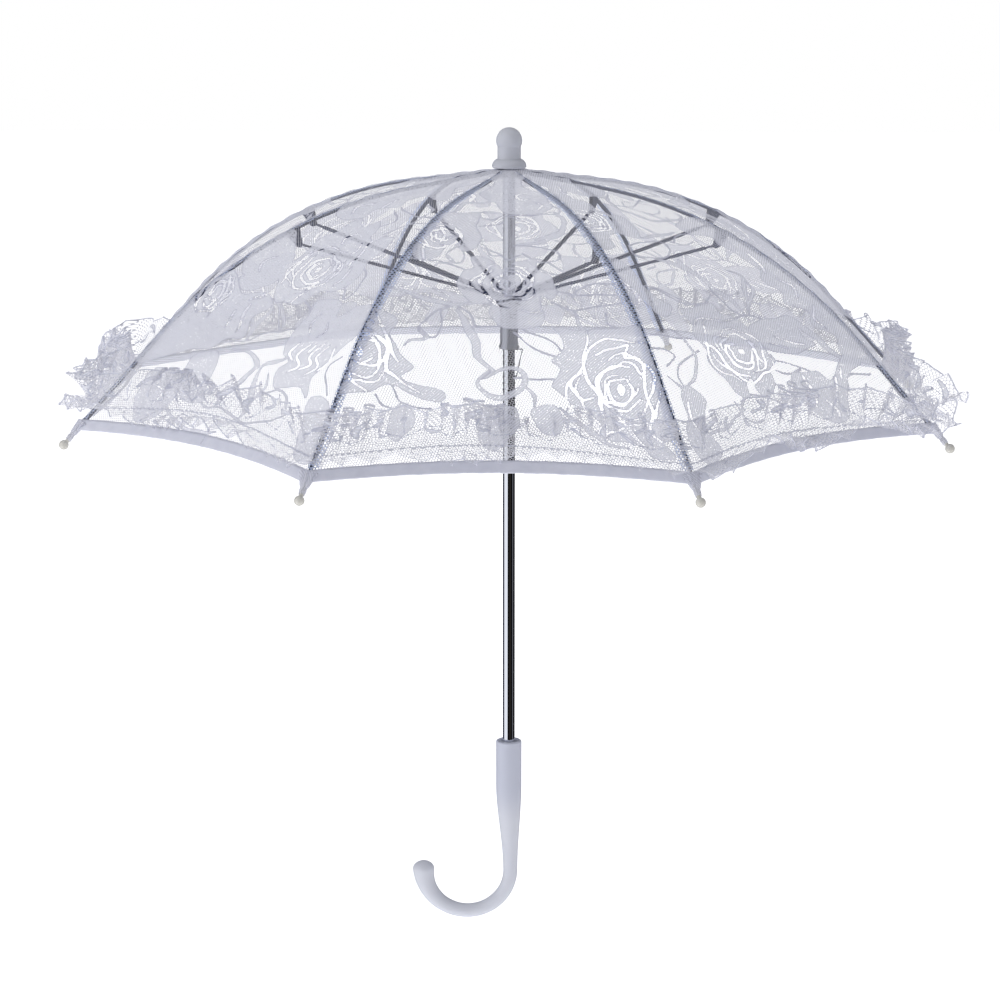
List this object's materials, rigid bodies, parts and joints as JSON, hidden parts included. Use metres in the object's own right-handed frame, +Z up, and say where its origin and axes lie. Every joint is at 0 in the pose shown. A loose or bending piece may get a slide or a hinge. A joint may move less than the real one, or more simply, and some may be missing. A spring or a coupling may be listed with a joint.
{
  "type": "lace parasol",
  "caption": "Small open parasol: lace canopy on steel ribs and stretchers, sliding runner with spring catch, steel shaft, white finial and hooked handle.",
  "frame": {"origin": "on the shaft's axis, at the mouth of the handle, where the steel tube goes in", "axes": "+Z up the shaft to the finial; the handle's hook points to -X; a gore of the canopy faces -Y"},
  "size_m": [0.592, 0.592, 0.5369],
  "materials": {
    "shaft_steel": "polished plated tube",
    "plated_steel": "plated, slightly dull",
    "wire_steel": "drawn wire",
    "spring_steel": "bright strip",
    "rib_steel": "dark plated sheet steel",
    "milky_plastic": "moulded, translucent white",
    "tip_plastic": "moulded, off white",
    "lace": "floral net lace, satin bound hem",
    "ruffle_lace": "gathered lace edging"
  },
  "bodies": {
    "shaft_body": {"shaft": "shaft_steel", "handle": "milky_plastic", "finial": "milky_plastic", "top_washer": "milky_plastic", "crown_notch": "plated_steel", "crown_ring": "wire_steel", "crown_pin": "wire_steel", "stop_pin": "wire_steel"},
    "runner_body": {"runner": "plated_steel", "runner_ring": "wire_steel"},
    "catch": {"catch_spring": "spring_steel"},
    "rib_arm_1": {"rib_1": "rib_steel", "bracket_1": "rib_steel", "tip_1": "tip_plastic", "gore_1": "lace", "ruffle_1": "ruffle_lace"},
    "stretcher_arm_1": {"stretcher_1": "rib_steel"},
    "rib_arm_2": {"rib_2": "rib_steel", "bracket_2": "rib_steel", "tip_2": "tip_plastic", "gore_2": "lace", "ruffle_2": "ruffle_lace"},
    "stretcher_arm_2": {"stretcher_2": "rib_steel"},
    "rib_arm_3": {"rib_3": "rib_steel", "bracket_3": "rib_steel", "tip_3": "tip_plastic", "gore_3": "lace", "ruffle_3": "ruffle_lace"},
    "stretcher_arm_3": {"stretcher_3": "rib_steel"},
    "rib_arm_4": {"rib_4": "rib_steel", "bracket_4": "rib_steel", "tip_4": "tip_plastic", "gore_4": "lace", "ruffle_4": "ruffle_lace"},
    "stretcher_arm_4": {"stretcher_4": "rib_steel"},
    "rib_arm_5": {"rib_5": "rib_steel", "bracket_5": "rib_steel", "tip_5": "tip_plastic", "gore_5": "lace", "ruffle_5": "ruffle_lace"},
    "stretcher_arm_5": {"stretcher_5": "rib_steel"},
    "rib_arm_6": {"rib_6": "rib_steel", "bracket_6": "rib_steel", "tip_6": "tip_plastic", "gore_6": "lace", "ruffle_6": "ruffle_lace"},
    "stretcher_arm_6": {"stretcher_6": "rib_steel"},
    "rib_arm_7": {"rib_7": "rib_steel", "bracket_7": "rib_steel", "tip_7": "tip_plastic", "gore_7": "lace", "ruffle_7": "ruffle_lace"},
    "stretcher_arm_7": {"stretcher_7": "rib_steel"},
    "rib_arm_8": {"rib_8": "rib_steel", "bracket_8": "rib_steel", "tip_8": "tip_plastic", "gore_8": "lace", "ruffle_8": "ruffle_lace"},
    "stretcher_arm_8": {"stretcher_8": "rib_steel"}
  },
  "joints": [
    {"name": "canopy_fold", "type": "hinge", "parent": "shaft_body", "child": "rib_arm_1", "pos_m": [0.00647, 0.00268, 0.383], "axis": [-0.3827, 0.9239, 0], "range_deg": [0, 60], "deforming": ["gore_1", "ruffle_1"]},
    {"name": "stretcher_fold_1", "type": "hinge", "parent": "rib_arm_1", "child": "stretcher_arm_1", "pos_m": [0.13182, 0.0546, 0.34225], "axis": [-0.3827, 0.9239, 0], "range_deg": [-120, 0]},
    {"name": "rib_fold_2", "type": "hinge", "parent": "shaft_body", "child": "rib_arm_2", "pos_m": [0.00268, 0.00647, 0.383], "axis": [-0.9239, 0.3827, 0], "range_deg": [0, 60], "deforming": ["gore_2", "ruffle_2"]},
    {"name": "stretcher_fold_2", "type": "hinge", "parent": "rib_arm_2", "child": "stretcher_arm_2", "pos_m": [0.0546, 0.13182, 0.34225], "axis": [-0.9239, 0.3827, 0], "range_deg": [-120, 0]},
    {"name": "rib_fold_3", "type": "hinge", "parent": "shaft_body", "child": "rib_arm_3", "pos_m": [-0.00268, 0.00647, 0.383], "axis": [-0.9239, -0.3827, 0], "range_deg": [0, 60], "deforming": ["gore_3", "ruffle_3"]},
    {"name": "stretcher_fold_3", "type": "hinge", "parent": "rib_arm_3", "child": "stretcher_arm_3", "pos_m": [-0.0546, 0.13182, 0.34225], "axis": [-0.9239, -0.3827, 0], "range_deg": [-120, 0]},
    {"name": "rib_fold_4", "type": "hinge", "parent": "shaft_body", "child": "rib_arm_4", "pos_m": [-0.00647, 0.00268, 0.383], "axis": [-0.3827, -0.9239, 0], "range_deg": [0, 60], "deforming": ["gore_4", "ruffle_4"]},
    {"name": "stretcher_fold_4", "type": "hinge", "parent": "rib_arm_4", "child": "stretcher_arm_4", "pos_m": [-0.13182, 0.0546, 0.34225], "axis": [-0.3827, -0.9239, 0], "range_deg": [-120, 0]},
    {"name": "rib_fold_5", "type": "hinge", "parent": "shaft_body", "child": "rib_arm_5", "pos_m": [-0.00647, -0.00268, 0.383], "axis": [0.3827, -0.9239, 0], "range_deg": [0, 60], "deforming": ["gore_5", "ruffle_5"]},
    {"name": "stretcher_fold_5", "type": "hinge", "parent": "rib_arm_5", "child": "stretcher_arm_5", "pos_m": [-0.13182, -0.0546, 0.34225], "axis": [0.3827, -0.9239, 0], "range_deg": [-120, 0]},
    {"name": "rib_fold_6", "type": "hinge", "parent": "shaft_body", "child": "rib_arm_6", "pos_m": [-0.00268, -0.00647, 0.383], "axis": [0.9239, -0.3827, 0], "range_deg": [0, 60], "deforming": ["gore_6", "ruffle_6"]},
    {"name": "stretcher_fold_6", "type": "hinge", "parent": "rib_arm_6", "child": "stretcher_arm_6", "pos_m": [-0.0546, -0.13182, 0.34225], "axis": [0.9239, -0.3827, 0], "range_deg": [-120, 0]},
    {"name": "rib_fold_7", "type": "hinge", "parent": "shaft_body", "child": "rib_arm_7", "pos_m": [0.00268, -0.00647, 0.383], "axis": [0.9239, 0.3827, 0], "range_deg": [0, 60], "deforming": ["gore_7", "ruffle_7"]},
    {"name": "stretcher_fold_7", "type": "hinge", "parent": "rib_arm_7", "child": "stretcher_arm_7", "pos_m": [0.0546, -0.13182, 0.34225], "axis": [0.9239, 0.3827, 0], "range_deg": [-120, 0]},
    {"name": "rib_fold_8", "type": "hinge", "parent": "shaft_body", "child": "rib_arm_8", "pos_m": [0.00647, -0.00268, 0.383], "axis": [0.3827, 0.9239, 0], "range_deg": [0, 60], "deforming": ["gore_8", "ruffle_8"]},
    {"name": "stretcher_fold_8", "type": "hinge", "parent": "rib_arm_8", "child": "stretcher_arm_8", "pos_m": [0.13182, -0.0546, 0.34225], "axis": [0.3827, 0.9239, 0], "range_deg": [-120, 0]},
    {"name": "runner_travel", "type": "hinge", "parent": "stretcher_arm_1", "child": "runner_body", "pos_m": [0.00647, 0.00268, 0.3015], "axis": [-0.3827, 0.9239, 0], "range_deg": [0, 60]},
    {"name": "catch_press", "type": "hinge", "parent": "shaft_body", "child": "catch", "pos_m": [0.0016, 0, 0.23885], "axis": [0, -1, 0], "range_deg": [0, 10], "stiffness_Nm_per_rad": 0.5, "deforming": ["catch_spring"]}
  ],
  "couplings": [
    {"joint": "stretcher_fold_1", "follows": "canopy_fold", "ratio": -2},
    {"joint": "rib_fold_2", "follows": "canopy_fold", "ratio": 1},
    {"joint": "stretcher_fold_2", "follows": "canopy_fold", "ratio": -2},
    {"joint": "rib_fold_3", "follows": "canopy_fold", "ratio": 1},
    {"joint": "stretcher_fold_3", "follows": "canopy_fold", "ratio": -2},
    {"joint": "rib_fold_4", "follows": "canopy_fold", "ratio": 1},
    {"joint": "stretcher_fold_4", "follows": "canopy_fold", "ratio": -2},
    {"joint": "rib_fold_5", "follows": "canopy_fold", "ratio": 1},
    {"joint": "stretcher_fold_5", "follows": "canopy_fold", "ratio": -2},
    {"joint": "rib_fold_6", "follows": "canopy_fold", "ratio": 1},
    {"joint": "stretcher_fold_6", "follows": "canopy_fold", "ratio": -2},
    {"joint": "rib_fold_7", "follows": "canopy_fold", "ratio": 1},
    {"joint": "stretcher_fold_7", "follows": "canopy_fold", "ratio": -2},
    {"joint": "rib_fold_8", "follows": "canopy_fold", "ratio": 1},
    {"joint": "stretcher_fold_8", "follows": "canopy_fold", "ratio": -2},
    {"joint": "runner_travel", "follows": "canopy_fold", "ratio": 1}
  ]
}
